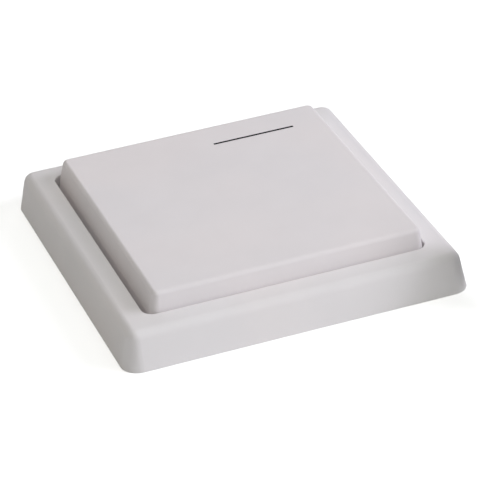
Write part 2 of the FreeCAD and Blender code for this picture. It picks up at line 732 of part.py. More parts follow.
# =====================================================================  coin cell, its holder and contacts
b = new_body("battery_holder")
s0 = sketch(b, "ring", offset=D.board_top)
circle(s0, 0, 0, 11.5)
circle(s0, 0, 0, D.cell_rad + 0.15)
pad(b, s0, 3.0, "ring_pad")
s1 = sketch(b, "ledge", offset=D.board_top)
circle(s1, 0, 0, D.cell_rad + 0.3)
circle(s1, 0, 0, 8.4)
pad(b, s1, D.cell_under - D.board_top, "ledge_pad")
s2 = sketch(b, "contact_gap", offset=D.board_top)
rectangle(s2, 7.0, 12.5, -2.6, 2.6)
pocket(b, s2, 3.5, "gap_cut", reverse=True, least=10)
s3 = sketch(b, "finger_gap", offset=D.board_top + 1.2)
rectangle(s3, -12.5, -7.0, -3.6, 3.6)
pocket(b, s3, 3.5, "finger_cut", reverse=True, least=10)

b = new_body("coin_cell")
s0 = sketch(b, "section", "XZ_Plane")
z0, z1 = D.cell_under, D.cell_under + D.cell_thick
polygon(
    s0,
    [
        (0, z0),
        (8.7, z0),
        (8.9, z0 + 0.2),
        (9.5, z0 + 0.25),
        (D.cell_rad, z0 + 0.6),
        (D.cell_rad, z1 - 0.25),
        (D.cell_rad - 0.25, z1),
        (0, z1),
    ],
)
revolution(b, s0, "can")

b = new_body("negative_contact")
s0 = sketch(b, "strip", "XZ_Plane", offset=-2.0)
z0 = D.board_top
polygon(
    s0,
    [
        (-6.5, z0),
        (2.0, z0),
        (3.0, D.cell_under - 0.16),
        (4.6, D.cell_under - 0.16),
        (5.6, z0),
        (6.2, z0),
        (6.2, z0 + 0.15),
        (5.7, z0 + 0.15),
        (4.7, D.cell_under),
        (2.9, D.cell_under),
        (1.9, z0 + 0.15),
        (-6.5, z0 + 0.15),
    ],
)
pad(b, s0, 4.0, "strip_pad")

b = new_body("positive_contact")
s0 = sketch(b, "clip", "XZ_Plane", offset=-2.2)
z1 = D.cell_under + D.cell_thick
polygon(
    s0,
    [
        (10.1, z0),
        (12.2, z0),
        (12.2, z0 + 0.2),
        (10.3, z0 + 0.2),
        (10.3, z1 + 0.2),
        (6.0, z1 + 0.2),
        (6.0, z1),
        (10.1, z1),
    ],
)
pad(b, s0, 4.4, "clip_pad")

# =====================================================================  parts on the board
b = new_body("controller_chip")
s0 = sketch(b, "package", offset=D.board_top + 0.15)
rectangle(s0, -19.6, -10.9, -15.0, -11.1)
c = pad(b, s0, 1.5, "moulding")
round_edges(b, c, 0.25, at_height(D.board_top.value + 1.65), "top_edges", "PartDesign::Chamfer")
s1 = sketch(b, "legs", offset=D.board_top)
for k in range(7):
    x = -19.06 + 1.27 * k
    rectangle(s1, x - 0.2, x + 0.2, -11.3, -10.1)
    rectangle(s1, x - 0.2, x + 0.2, -16.0, -14.8)
pad(b, s1, 0.8, "leg_pads")

b = new_body("radio_chip")
s0 = sketch(b, "package", offset=D.board_top)
rectangle(s0, -18.5, -13.5, 8.5, 13.5)
c = pad(b, s0, 0.9, "moulding")
round_edges(b, c, 0.12, at_height(D.board_top.value + 0.9), "top_edges", "PartDesign::Chamfer")

b = new_body("crystal_can")
s0 = sketch(b, "flange", offset=D.board_top)
oblong(s0, 17.2, 12.2, 11.2, 2.4, False)
pad(b, s0, 0.4, "flange_pad")
s1 = sketch(b, "can", offset=D.board_top + 0.4)
oblong(s1, 17.2, 12.2, 10.4, 2.0, False)
c = pad(b, s1, 3.0, "can_pad")
round_edges(b, c, 0.4, at_height(D.board_top.value + 3.4), "can_rounding")

# the wound aerial: a closed sleeve round its turns, with a lead at each end
b = new_body("antenna_coil")
s0 = sketch(b, "sleeve", "YZ_Plane", offset=-19.0)
circle(s0, 18.4, 6.95, 1.75)
circle(s0, 18.4, 6.95, 1.15)
pad(b, s0, 11.6, "sleeve_pad")
s1 = sketch(b, "leads", offset=D.board_top)
rectangle(s1, -19.0, -18.3, 18.0, 18.7)
rectangle(s1, -8.1, -7.4, 18.0, 18.7)
pad(b, s1, 0.9, "lead_pads")

b = new_body("status_led")
s0 = sketch(b, "base", offset=D.board_top)
rectangle(s0, 12.4, 15.6, 18.2, 19.8)
pad(b, s0, 0.5, "base_pad")
s1 = sketch(b, "lens", offset=D.board_top + 0.4)
rectangle(s1, 13.0, 15.0, 18.3, 19.7)
c = pad(b, s1, 0.8, "lens_pad")
round_edges(b, c, 0.2, at_height(D.board_top.value + 1.2), "lens_rounding")

# a small tact switch for pairing, its key reached through the cover
b = new_body("pairing_switch")
s0 = sketch(b, "case", offset=D.board_top)
rectangle(s0, 11.0, 17.0, -22.0, -16.0)
c = pad(b, s0, 3.4, "case_pad")
s1 = sketch(b, "key_hole", offset=D.board_top + 3.4)
circle(s1, 14.0, -19.0, 1.8)
pocket(b, s1, 1.2, "key_hole_cut", least=5)

b = new_body("pairing_button")
s0 = sketch(b, "foot", offset=D.board_top + 2.55)
circle(s0, 14.0, -19.0, 1.72)
c = pad(b, s0, 2.55, "stem")
round_edges(b, c, 0.25, at_height(D.board_top.value + 5.1), "key_rounding")

res = []
for x, y in ((-6.6, -13.2), (-6.6, -15.2), (-6.6, -17.2), (-21.6, 4.8), (-21.6, 6.8), (5.8, 14.6)):
    res.append(box("chip_resistor_%d" % (len(res) + 1), x - 0.8, x + 0.8, y - 0.4, y + 0.4, D.board_top, D.board_top + 0.5))
group("chip_resistors", res)
cap = []
for x, y in ((-12.2, 8.6), (-12.2, 11.2), (8.6, 14.6), (11.4, 14.6), (7.4, -13.4), (10.2, -13.4)):
    cap.append(box("chip_capacitor_%d" % (len(cap) + 1), x - 0.5, x + 0.5, y - 0.8, y + 0.8, D.board_top, D.board_top + 0.8))
group("chip_capacitors", cap)


# =====================================================================  screws
def screw(label, x, y):
    """A small flat-headed self-cutting screw, with a cross recess."""
    head = D.box_top - 0.1
    c0 = disc(label + "_head", x, y, head - 0.5, 1.9, 0.5)
    c1 = disc(label + "_shank", x, y, D.box_split - 4.2, 0.93, head - 0.4 - (D.box_split - 4.2))
    f = doc.addObject("Part::MultiFuse", label + "_blank")
    f.Shapes = [c0, c1]
    x, y = dim(x), dim(y)
    k = doc.addObject("Part::MultiFuse", label + "_cross")
    k.Shapes = [
        box(label + "_slot_x", x - 1.0, x + 1.0, y - 0.2, y + 0.2, head - 0.35, head + 0.1),
        box(label + "_slot_y", x - 0.2, x + 0.2, y - 1.0, y + 1.0, head - 0.35, head + 0.1),
    ]
    r = doc.addObject("Part::Cut", label)
    r.Base, r.Tool = f, k
    return r


P = D.post_back
group(
    "cover_screws",
    [
        screw("cover_screw_1", P, P),
        screw("cover_screw_2", -P, P),
        screw("cover_screw_3", -P, -P),
        screw("cover_screw_4", P, -P),
    ],
)

# =====================================================================  check and write
doc.recompute()
for o in doc.Objects:
    bad = [x for x in o.State if x in ("Invalid", "Error")]
    if bad:
        raise RuntimeError("%s is %s" % (o.Label, bad))
for name, o in made.items():
    if o.Shape.isNull() or not o.Shape.isValid():
        raise RuntimeError(name + " has no valid shape")
os.makedirs("parts", exist_ok=True)
for name, o in made.items():
    o.Shape.exportStep("parts/%s.step" % name)
    bb = o.Shape.BoundBox
    print(
        "%-20s solids %d  %8.1f mm3  x %.2f..%.2f  y %.2f..%.2f  z %.2f..%.2f"
        % (name, len(o.Shape.Solids), o.Shape.Volume, bb.XMin, bb.XMax, bb.YMin, bb.YMax, bb.ZMin, bb.ZMax)
    )
print(len(made), "parts")
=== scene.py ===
import math
import random

import bmesh
import bpy
from mathutils import Matrix, Vector


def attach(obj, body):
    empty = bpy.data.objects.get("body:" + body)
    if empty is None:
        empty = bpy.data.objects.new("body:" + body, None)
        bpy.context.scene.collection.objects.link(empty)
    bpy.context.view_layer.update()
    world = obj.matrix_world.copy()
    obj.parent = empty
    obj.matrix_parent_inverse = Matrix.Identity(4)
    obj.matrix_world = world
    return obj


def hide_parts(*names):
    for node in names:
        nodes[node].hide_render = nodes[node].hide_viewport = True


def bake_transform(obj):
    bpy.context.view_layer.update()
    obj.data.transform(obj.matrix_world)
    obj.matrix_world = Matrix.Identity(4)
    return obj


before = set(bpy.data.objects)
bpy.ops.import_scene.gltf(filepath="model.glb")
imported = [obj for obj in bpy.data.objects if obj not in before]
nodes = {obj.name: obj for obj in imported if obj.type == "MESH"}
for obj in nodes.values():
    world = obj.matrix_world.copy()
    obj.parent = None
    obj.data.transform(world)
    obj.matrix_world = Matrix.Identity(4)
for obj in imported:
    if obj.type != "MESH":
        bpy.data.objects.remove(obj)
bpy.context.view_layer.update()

scene = bpy.context.scene
MM = 0.001

# ---------------------------------------------------------------- colour handling
scene.view_settings.view_transform = "Standard"
scene.view_settings.look = "None"
scene.view_settings.exposure = 0.0
scene.view_settings.gamma = 1.0


# ---------------------------------------------------------------- camera
def aim_camera():
    focal, az, el, roll, dist, tx, ty = 2701.45, -19.198, 31.130, -3.244, 0.61265, 0.00142, 0.001678
    a, e, r = (math.radians(v) for v in (az, el, roll))
    back = Vector((math.sin(a) * math.cos(e), -math.cos(a) * math.cos(e), math.sin(e)))
    right = Vector((math.cos(a), math.sin(a), 0.0))
    up = right.cross(-back)
    r2 = math.cos(r) * right + math.sin(r) * up
    u2 = -math.sin(r) * right + math.cos(r) * up
    m = Matrix((r2, u2, back)).transposed().to_4x4()
    m.translation = Vector((tx, ty, 0.0)) + back * dist
    data = bpy.data.cameras.new("camera")
    data.sensor_width = 36.0
    data.sensor_fit = "HORIZONTAL"
    data.lens = focal / 480.0 * 36.0
    data.clip_start, data.clip_end = 0.01, 50.0
    cam = bpy.data.objects.new("camera", data)
    scene.collection.objects.link(cam)
    cam.matrix_world = m
    scene.camera = cam


aim_camera()


# ---------------------------------------------------------------- material kit
class Mat:
    """A node material. Places are in millimetres in the piece's own frame."""

    def __init__(self, name, **sockets):
        self.m = bpy.data.materials.new(name)
        self.m.use_nodes = True
        self.nt = self.m.node_tree
        self.nt.nodes.clear()
        self.out = self.add("ShaderNodeOutputMaterial")
        self.b = self.add("ShaderNodeBsdfPrincipled")
        self.nt.links.new(self.b.outputs[0], self.out.inputs["Surface"])
        for k, v in sockets.items():
            self.b.inputs[k.replace("_", " ")].default_value = v
        coord = self.add("ShaderNodeTexCoord").outputs["Object"]
        self.p = self.vec("SCALE", coord, 1000.0)
        sep = self.add("ShaderNodeSeparateXYZ")
        self.put(sep.inputs[0], self.p)
        self.x, self.y, self.z = sep.outputs
        self.normal = None

    def add(self, kind, **props):
        n = self.nt.nodes.new(kind)
        for k, v in props.items():
            setattr(n, k, v)
        return n

    def put(self, socket, value):
        if isinstance(value, bpy.types.NodeSocket):
            self.nt.links.new(value, socket)
        else:
            socket.default_value = value

    def vec(self, op, a, b=None):
        n = self.add("ShaderNodeVectorMath", operation=op)
        self.put(n.inputs[0], a)
        if op == "SCALE":
            self.put(n.inputs["Scale"], b)
        elif b is not None:
            self.put(n.inputs[1], b)
        return n.outputs["Value"] if op in ("LENGTH", "DISTANCE", "DOT_PRODUCT") else n.outputs[0]

    def math(self, op, a, b=None, c=None, clamp=False):
        n = self.add("ShaderNodeMath", operation=op, use_clamp=clamp)
        for k, v in enumerate((a, b, c)):
            if v is not None:
                self.put(n.inputs[k], v)
        return n.outputs[0]

    def span(self, value, lo, hi, a=0.0, b=1.0, smooth=True):
        """a below lo, b above hi."""
        n = self.add("ShaderNodeMapRange", interpolation_type="SMOOTHSTEP" if smooth else "LINEAR")
        self.put(n.inputs[0], value)
        for k, v in enumerate((lo, hi, a, b)):
            self.put(n.inputs[k + 1], v)
        return n.outputs[0]

    def noise(self, size, detail=2.0, rough=0.5, stretch=None, seed=0.0):
        """0 to 1; size is the width of a feature in millimetres."""
        p = self.p
        if stretch:
            p = self.vec("MULTIPLY", p, stretch)
        n = self.add("ShaderNodeTexNoise", noise_dimensions="4D")
        self.put(n.inputs["Vector"], p)
        n.inputs["W"].default_value = seed
        n.inputs["Scale"].default_value = 1.0 / size
        n.inputs["Detail"].default_value = detail
        n.inputs["Roughness"].default_value = rough
        return n.outputs[0]

    def cells(self, size, feature="F1", rand=1.0, stretch=None, out="Distance"):
        p = self.p
        if stretch:
            p = self.vec("MULTIPLY", p, stretch)
        n = self.add("ShaderNodeTexVoronoi", feature=feature)
        self.put(n.inputs["Vector"], p)
        n.inputs["Scale"].default_value = 1.0 / size
        n.inputs["Randomness"].default_value = rand
        return n.outputs[out]

    def mix(self, fac, a, b):
        n = self.add("ShaderNodeMix", data_type="RGBA")
        self.put(n.inputs[0], fac)
        for k, v in ((6, a), (7, b)):
            self.put(n.inputs[k], v if isinstance(v, bpy.types.NodeSocket) else (*v, 1.0)[:4])
        return n.outputs[2]

    def lerp(self, fac, a, b):
        n = self.add("ShaderNodeMix", data_type="FLOAT")
        self.put(n.inputs[0], fac)
        self.put(n.inputs[2], a)
        self.put(n.inputs[3], b)
        return n.outputs[0]

    def radius(self, cx, cy):
        """Distance from the upright axis through (cx, cy)."""
        dx = self.math("SUBTRACT", self.x, cx)
        dy = self.math("SUBTRACT", self.y, cy)
        return self.math("SQRT", self.math("ADD", self.math("MULTIPLY", dx, dx), self.math("MULTIPLY", dy, dy)))

    def ring(self, r, r0, width):
        """1 on a ring of radius r0, falling to 0 at half its width."""
        return self.span(self.math("ABSOLUTE", self.math("SUBTRACT", r, r0)), width * 0.25, width * 0.5, 1.0, 0.0)

    def facing(self, axis=2):
        """How far the surface looks along an axis of the piece, -1 to 1."""
        g = self.add("ShaderNodeTexCoord").outputs["Normal"]
        s = self.add("ShaderNodeSeparateXYZ")
        self.put(s.inputs[0], g)
        return s.outputs[axis]

    def soften(self, rad):
        """Rounds the look of sharp edges by rad millimetres."""
        n = self.add("ShaderNodeBevel", samples=4)
        n.inputs["Radius"].default_value = rad * MM
        self.normal = n.outputs[0]
        return self.normal

    def edges(self, rad):
        """1 along edges, 0 on open faces."""
        n = self.add("ShaderNodeBevel", samples=4)
        n.inputs["Radius"].default_value = rad * MM
        g = self.add("ShaderNodeNewGeometry").outputs["Normal"]
        d = self.vec("DOT_PRODUCT", n.outputs[0], g)
        return self.span(d, 0.90, 0.995, 1.0, 0.0)

    def bump(self, height, depth, strength=1.0):
        """Adds relief: height 0 to 1 times depth in millimetres."""
        n = self.add("ShaderNodeBump")
        n.inputs["Strength"].default_value = strength
        n.inputs["Distance"].default_value = depth * MM
        self.put(n.inputs["Height"], height)
        if self.normal is not None:
            self.put(n.inputs["Normal"], self.normal)
        self.normal = n.outputs[0]
        return self.normal

    def done(self, colour=None, rough=None, metal=None):
        if colour is not None:
            self.put(self.b.inputs["Base Color"], colour)
        if rough is not None:
            self.put(self.b.inputs["Roughness"], rough)
        if metal is not None:
            self.put(self.b.inputs["Metallic"], metal)
        if self.normal is not None:
            self.put(self.b.inputs["Normal"], self.normal)
        return self.m


def tone(c, k):
    return tuple(min(1.0, v * k) for v in c)


def moulded(name, colour, rough, grain=0.17, depth=0.0022, spread=0.012, warm=0.006, edge=0.35, seed=0.0):
    """Moulded plastic: eroded grain, slow waves of the melt, faint cloudiness, edges a little more polished."""
    m = Mat(name)
    cloud = m.noise(14.0, 3.0, 0.55, seed=seed)
    drift = m.noise(31.0, 1.0, 0.5, seed=seed + 3.7)
    lo = tone(colour, 1.0 - spread)
    hi = tone(colour, 1.0 + spread)
    base = m.mix(m.span(cloud, 0.3, 0.7), lo, hi)
    cool = (1.0 - warm, 1.0, 1.0 + warm * 0.6)
    warmer = (1.0 + warm, 1.0, 1.0 - warm * 0.6)
    tint = m.mix(m.span(drift, 0.35, 0.65), cool, warmer)
    mul = m.add("ShaderNodeMix", data_type="RGBA", blend_type="MULTIPLY")
    mul.inputs[0].default_value = 1.0
    m.put(mul.inputs[6], base)
    m.put(mul.inputs[7], tint)
    worn = m.edges(edge)
    r = m.span(m.noise(6.0, 4.0, 0.6, seed=seed + 9.1), 0.25, 0.75, rough - 0.035, rough + 0.035)
    r = m.math("SUBTRACT", r, m.math("MULTIPLY", worn, 0.07))
    m.soften(edge * 0.5)
    m.bump(m.noise(9.0, 2.0, 0.5, seed=seed + 5.0), 0.004)
    m.bump(m.noise(grain, 2.0, 0.6, seed=seed + 1.3), depth)
    return m, mul.outputs[2], r


def metal(name, colour, rough, stretch=None, size=0.05, depth=0.0012, spread=0.04, seed=0.0, coat=0.0):
    """Bare or plated metal with fine lines along the way it was drawn or turned."""
    m = Mat(name, Metallic=1.0, Coat_Weight=coat)
    lines = m.noise(size, 3.0, 0.6, stretch=stretch, seed=seed)
    blot = m.noise(1.8, 3.0, 0.6, seed=seed + 2.2)
    col = m.mix(m.span(lines, 0.3, 0.7), tone(colour, 1 - spread), tone(colour, 1 + spread))
    r = m.math("ADD", m.span(lines, 0.3, 0.7, rough - 0.05, rough + 0.05), m.span(blot, 0.35, 0.7, -0.03, 0.05))
    m.bump(lines, depth)
    return m, col, r


def paint(names, material):
    for n in [names] if isinstance(names, str) else names:
        o = nodes[n]
        o.data.materials.clear()
        o.data.materials.append(material)


# ---------------------------------------------------------------- plastics
SHELL = (0.868, 0.837, 0.845)

m, col, r = moulded("shell_plastic", SHELL, 0.43, seed=1.0)
shell_material = m.done(col, r)
paint("cover_frame", shell_material)

m, col, r = moulded("shell_key_plastic", (0.882, 0.838, 0.850), 0.41, seed=21.0)
key_material = m.done(col, r)
paint("rocker_plate", key_material)


def base_material():
    m, col, r = moulded("base_plastic", (0.80, 0.775, 0.79), 0.56, grain=0.26, depth=0.006, seed=41.0)
    # the round marks that ejector pins leave, in the corners and near the middle
    ax, ay = m.math("ABSOLUTE", m.x), m.math("ABSOLUTE", m.y)
    worn = None
    for cx, cy, rad in ((31.5, 31.5, 2.6), (18.0, 18.0, 2.1)):
        dx, dy = m.math("SUBTRACT", ax, cx), m.math("SUBTRACT", ay, cy)
        d = m.math("SQRT", m.math("ADD", m.math("MULTIPLY", dx, dx), m.math("MULTIPLY", dy, dy)))
        rim = m.ring(d, rad, 0.36)
        worn = rim if worn is None else m.math("MAXIMUM", worn, rim)
    m.bump(worn, 0.02)
    return m.done(col, r)


paint("base_plate", base_material())

m, col, r = moulded("housing_plastic", (0.70, 0.685, 0.69), 0.52, grain=0.22, depth=0.004, seed=61.0)
paint(["transmitter_tray", "transmitter_cover"], m.done(col, r))

m, col, r = moulded("holder_plastic", (0.022, 0.022, 0.024), 0.48, grain=0.14, depth=0.003, spread=0.15, edge=0.15, seed=81.0)
paint("battery_holder", m.done(col, r))


def line_material():
    m = Mat("line_ink", Specular_IOR_Level=0.12)
    n = m.noise(0.35, 3.0, 0.6, seed=2.0)
    col = m.mix(m.span(n, 0.3, 0.7), (0.003, 0.003, 0.0035), (0.006, 0.006, 0.0065))
    r = m.span(m.noise(0.9, 2.0, seed=4.0), 0.3, 0.7, 0.55, 0.68)
    m.bump(n, 0.002)
    return m.done(col, r)


paint("marker_line", line_material())

# ---------------------------------------------------------------- metals
m, col, r = metal("ground_steel", (0.60, 0.60, 0.615), 0.24, stretch=(1.0, 0.06, 0.06), size=0.035)
paint(["hinge_pin_left", "hinge_pin_right"], m.done(col, r))


def screw_material():
    m, col, r = metal("zinc_screw", (0.60, 0.615, 0.635), 0.33, size=0.12, depth=0.002, spread=0.06, seed=5.0)
    ax, ay = m.math("ABSOLUTE", m.x), m.math("ABSOLUTE", m.y)
    dx, dy = m.math("SUBTRACT", ax, 21.4), m.math("SUBTRACT", ay, 21.4)
    d = m.math("SQRT", m.math("ADD", m.math("MULTIPLY", dx, dx), m.math("MULTIPLY", dy, dy)))
    turned = m.math("PINGPONG", d, 0.06)
    m.bump(m.math("MULTIPLY", turned, 16.0), 0.0025)
    # painted shade: the bottom of the drive recess in the middle of each head is darkened
    painted_recess_shade = m.math("MULTIPLY", m.span(m.z, 9.2, 9.45, 1.0, 0.0), m.span(d, 1.1, 1.3, 1.0, 0.0))
    recess_shaded_colour = m.mix(painted_recess_shade, col, (0.30, 0.30, 0.32))
    return m.done(recess_shaded_colour, r)


paint("cover_screws", screw_material())

m, col, r = metal("nickel_strip", (0.74, 0.71, 0.65), 0.27, stretch=(1.0, 0.08, 1.0), size=0.05, seed=7.0)
paint(["negative_contact", "positive_contact"], m.done(col, r))

m, col, r = metal("nickel_can", (0.70, 0.69, 0.665), 0.25, stretch=(1.0, 1.0, 0.08), size=0.06, seed=9.0)
paint("crystal_can", m.done(col, r))


def coin_material():
    m = Mat("coin_cell_steel")
    d = m.radius(0.0, 0.0)
    brushed = m.noise(0.05, 3.0, 0.65, stretch=(1.0, 0.03, 1.0), seed=11.0)
    sweep = m.noise(1.6, 2.0, 0.5, seed=12.0)
    col = m.mix(m.span(brushed, 0.3, 0.7), (0.57, 0.575, 0.59), (0.68, 0.685, 0.70))
    r = m.math("ADD", m.span(brushed, 0.3, 0.7, 0.22, 0.36), m.span(sweep, 0.3, 0.7, -0.02, 0.04))
    below = m.span(m.z, 5.35, 5.45, 1.0, 0.0)
    gasket = m.math("MULTIPLY", m.ring(d, 9.05, 0.62), below)
    col = m.mix(gasket, col, (0.10, 0.10, 0.105))
    r = m.lerp(gasket, r, 0.6)
    metal_part = m.math("SUBTRACT", 1.0, gasket)
    above = m.span(m.z, 8.2, 8.25)
    m.bump(brushed, 0.0012)
    m.bump(m.math("MULTIPLY", m.span(d, 8.2, 8.7, 1.0, 0.0), above), 0.05)
    return m.done(col, r, metal_part)


paint("coin_cell", coin_material())


# ---------------------------------------------------------------- circuit board and its parts
def board_material():
    m = Mat("board_laminate", Coat_Weight=0.25, Coat_Roughness=0.12)
    up = m.facing(2)
    flat = m.span(m.math("ABSOLUTE", up), 0.5, 0.8)
    # tracks: lines on a 1.27 mm grid, broken up so that each run has its own length and way
    pick = m.cells(6.2, "F1", 1.0, out="Color")
    sp = m.add("ShaderNodeSeparateColor")
    m.put(sp.inputs[0], pick)
    gx = m.math("ABSOLUTE", m.math("SUBTRACT", m.math("FRACT", m.math("MULTIPLY", m.x, 1 / 1.27)), 0.5))
    gy = m.math("ABSOLUTE", m.math("SUBTRACT", m.math("FRACT", m.math("MULTIPLY", m.y, 1 / 1.27)), 0.5))
    along_y = m.span(gx, 0.09, 0.13, 1.0, 0.0)
    along_x = m.span(gy, 0.09, 0.13, 1.0, 0.0)
    track = m.lerp(m.span(sp.outputs[0], 0.49, 0.51), along_x, along_y)
    track = m.math("MULTIPLY", track, m.span(sp.outputs[1], 0.30, 0.31))
    # plated through holes, some covered
    spots = m.cells(3.81, "F1", 0.55)
    via = m.span(spots, 0.095, 0.11, 1.0, 0.0)
    # painted shade: the open middle of each hole is coloured near black to stand in for the hole's depth
    painted_hole_shade = m.span(spots, 0.045, 0.055, 1.0, 0.0)
    pour = m.span(m.noise(9.0, 1.0, 0.4, seed=3.0), 0.52, 0.53)
    copper_under = m.math("MAXIMUM", m.math("MAXIMUM", track, via), m.math("MULTIPLY", pour, 0.7))
    green = m.mix(copper_under, (0.008, 0.075, 0.030), (0.016, 0.145, 0.052))
    green = m.mix(via, green, (0.62, 0.50, 0.24))
    green = m.mix(painted_hole_shade, green, (0.01, 0.012, 0.01))
    weave = m.math("ADD", m.math("SINE", m.math("MULTIPLY", m.x, 9.0)), m.math("SINE", m.math("MULTIPLY", m.z, 50.0)))
    edge = m.mix(m.span(weave, -1.0, 1.0), (0.36, 0.31, 0.16), (0.50, 0.45, 0.26))
    col = m.mix(flat, edge, green)
    gold = m.math("MULTIPLY", via, flat)
    r = m.lerp(flat, 0.75, m.span(m.noise(0.8, 3.0, seed=6.0), 0.3, 0.7, 0.26, 0.36))
    m.bump(m.math("MULTIPLY", m.math("MAXIMUM", track, via), flat), 0.03)
    m.bump(m.noise(0.25, 2.0, seed=8.0), 0.002)
    return m.done(col, r, m.math("MULTIPLY", gold, 0.9))


paint("circuit_board", board_material())


def pad_material():
    m = Mat("gold_pads")
    stripe = m.math("FRACT", m.math("MULTIPLY", m.x, 1 / 0.7))
    gap = m.span(m.math("ABSOLUTE", m.math("SUBTRACT", stripe, 0.5)), 0.10, 0.14, 1.0, 0.0)
    ay = m.math("ABSOLUTE", m.y)
    dx, dy = m.x, m.math("SUBTRACT", ay, 19.0)
    d = m.math("SQRT", m.math("ADD", m.math("MULTIPLY", dx, dx), m.math("MULTIPLY", dy, dy)))
    gap = m.math("MULTIPLY", gap, m.span(d, 2.0, 2.1, 1.0, 0.0))
    n = m.noise(0.22, 3.0, 0.6, seed=5.0)
    gold = m.mix(m.span(n, 0.3, 0.7), (0.78, 0.57, 0.25), (0.88, 0.67, 0.33))
    col = m.mix(gap, gold, (0.010, 0.085, 0.035))
    r = m.lerp(gap, m.span(n, 0.3, 0.7, 0.22, 0.34), 0.5)
    m.bump(gap, -0.02)
    m.bump(n, 0.001)
    return m.done(col, r, m.math("SUBTRACT", 1.0, gap))


paint("dome_contacts", pad_material())


def epoxy(m, seed):
    n = m.noise(0.07, 3.0, 0.7, seed=seed)
    col = m.mix(m.span(n, 0.3, 0.7), (0.014, 0.014, 0.015), (0.030, 0.030, 0.032))
    return n, col


def leg_chip():
    m = Mat("chip_with_legs")
    n, body = epoxy(m, 1.0)
    off = m.math("ABSOLUTE", m.math("SUBTRACT", m.y, -13.05))
    leg = m.span(off, 1.955, 1.975)
    tin_n = m.noise(0.09, 3.0, 0.6, seed=3.0)
    tin = m.mix(m.span(tin_n, 0.3, 0.7), (0.58, 0.58, 0.57), (0.72, 0.72, 0.70))
    d = m.radius(-18.7, -14.15)
    dot = m.math("MULTIPLY", m.span(d, 0.32, 0.36, 1.0, 0.0), m.span(m.z, 6.40, 6.43))
    col = m.mix(leg, m.mix(dot, body, (0.05, 0.05, 0.052)), tin)
    r = m.lerp(leg, m.lerp(dot, 0.62, 0.3), m.span(tin_n, 0.3, 0.7, 0.24, 0.38))
    m.bump(n, 0.006)
    m.bump(dot, -0.08)
    return m.done(col, r, leg)


paint("controller_chip", leg_chip())


def flat_chip():
    m = Mat("chip_flat")
    n, body = epoxy(m, 7.0)
    ends_x = m.math("FRACT", m.math("MULTIPLY", m.math("ADD", m.x, 18.5), 1 / 0.625))
    ends_y = m.math("FRACT", m.math("MULTIPLY", m.math("SUBTRACT", m.y, 8.5), 1 / 0.625))
    fx, fy = m.math("ABSOLUTE", m.facing(0)), m.math("ABSOLUTE", m.facing(1))
    run = m.lerp(m.span(fx, 0.4, 0.6), ends_x, ends_y)
    pad = m.span(m.math("ABSOLUTE", m.math("SUBTRACT", run, 0.5)), 0.20, 0.24, 1.0, 0.0)
    low = m.span(m.z, 4.99, 5.01, 1.0, 0.0)
    side = m.span(m.math("MAXIMUM", fx, fy), 0.5, 0.7)
    pad = m.math("MULTIPLY", m.math("MULTIPLY", pad, low), side)
    d = m.radius(-18.0, 13.0)
    dot = m.math("MULTIPLY", m.span(d, 0.20, 0.24, 1.0, 0.0), m.span(m.z, 5.66, 5.69))
    col = m.mix(dot, body, (0.32, 0.32, 0.32))
    col = m.mix(pad, col, (0.66, 0.60, 0.46))
    r = m.lerp(pad, 0.55, 0.3)
    m.bump(n, 0.005)
    return m.done(col, r, pad)


paint("radio_chip", flat_chip())


def led_material():
    m = Mat("led_body", Coat_Weight=0.4, Coat_Roughness=0.08)
    base = m.span(m.z, 5.28, 5.31, 1.0, 0.0)
    ends = m.span(m.math("ABSOLUTE", m.math("SUBTRACT", m.x, 14.0)), 1.22, 1.26)
    ends = m.math("MULTIPLY", ends, base)
    d = m.radius(14.0, 19.0)
    die = m.span(d, 0.15, 0.55, 1.0, 0.0)
    n = m.noise(0.3, 2.0, seed=2.0)
    resin = m.mix(die, (0.80, 0.82, 0.74), (0.86, 0.80, 0.34))
    white = m.mix(m.span(n, 0.3, 0.7), (0.80, 0.80, 0.78), (0.88, 0.88, 0.86))
    col = m.mix(base, resin, white)
    col = m.mix(ends, col, (0.70, 0.69, 0.66))
    r = m.lerp(base, 0.14, 0.45)
    m.bump(n, 0.002)
    return m.done(col, r, ends)


paint("status_led", led_material())


def switch_material():
    m = Mat("tact_switch")
    n = m.noise(0.12, 3.0, 0.6, seed=2.0)
    lid = m.span(m.z, 7.80, 7.84)
    body = m.mix(m.span(n, 0.3, 0.7), (0.020, 0.020, 0.021), (0.034, 0.034, 0.036))
    ax = m.math("ABSOLUTE", m.math("SUBTRACT", m.x, 14.0))
    ay = m.math("ABSOLUTE", m.math("SUBTRACT", m.y, -19.0))
    dx, dy = m.math("SUBTRACT", ax, 2.25), m.math("SUBTRACT", ay, 2.25)
    d = m.math("SQRT", m.math("ADD", m.math("MULTIPLY", dx, dx), m.math("MULTIPLY", dy, dy)))
    stake = m.span(d, 0.44, 0.50, 1.0, 0.0)
    plate = m.math("MULTIPLY", lid, m.math("SUBTRACT", 1.0, stake))
    lines = m.noise(0.05, 2.0, 0.6, stretch=(1.0, 0.08, 1.0), seed=6.0)
    steel = m.mix(m.span(lines, 0.3, 0.7), (0.62, 0.61, 0.58), (0.72, 0.71, 0.68))
    col = m.mix(plate, body, steel)
    r = m.lerp(plate, 0.5, m.span(lines, 0.3, 0.7, 0.24, 0.34))
    m.bump(m.math("MULTIPLY", stake, lid), 0.06)
    m.bump(n, 0.003)
    return m.done(col, r, plate)


paint("pairing_switch", switch_material())


def button_material():
    m, col, r = moulded("switch_button", (0.46, 0.035, 0.028), 0.36, grain=0.10, depth=0.002, spread=0.06, edge=0.12, seed=95.0)
    return m.done(col, r)


paint("pairing_button", button_material())


# ---------------------------------------------------------------- mesh helpers
def piece(name, bm, material, body, replaces=(), smooth=True):
    bmesh.ops.recalc_face_normals(bm, faces=bm.faces)
    me = bpy.data.meshes.new(name)
    bm.to_mesh(me)
    bm.free()
    o = bpy.data.objects.new(name, me)
    scene.collection.objects.link(o)
    for mt in material if isinstance(material, (list, tuple)) else [material]:
        me.materials.append(mt)
    if smooth:
        me.shade_smooth()
    if body:
        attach(o, body)
    if replaces:
        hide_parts(*replaces)
    return o


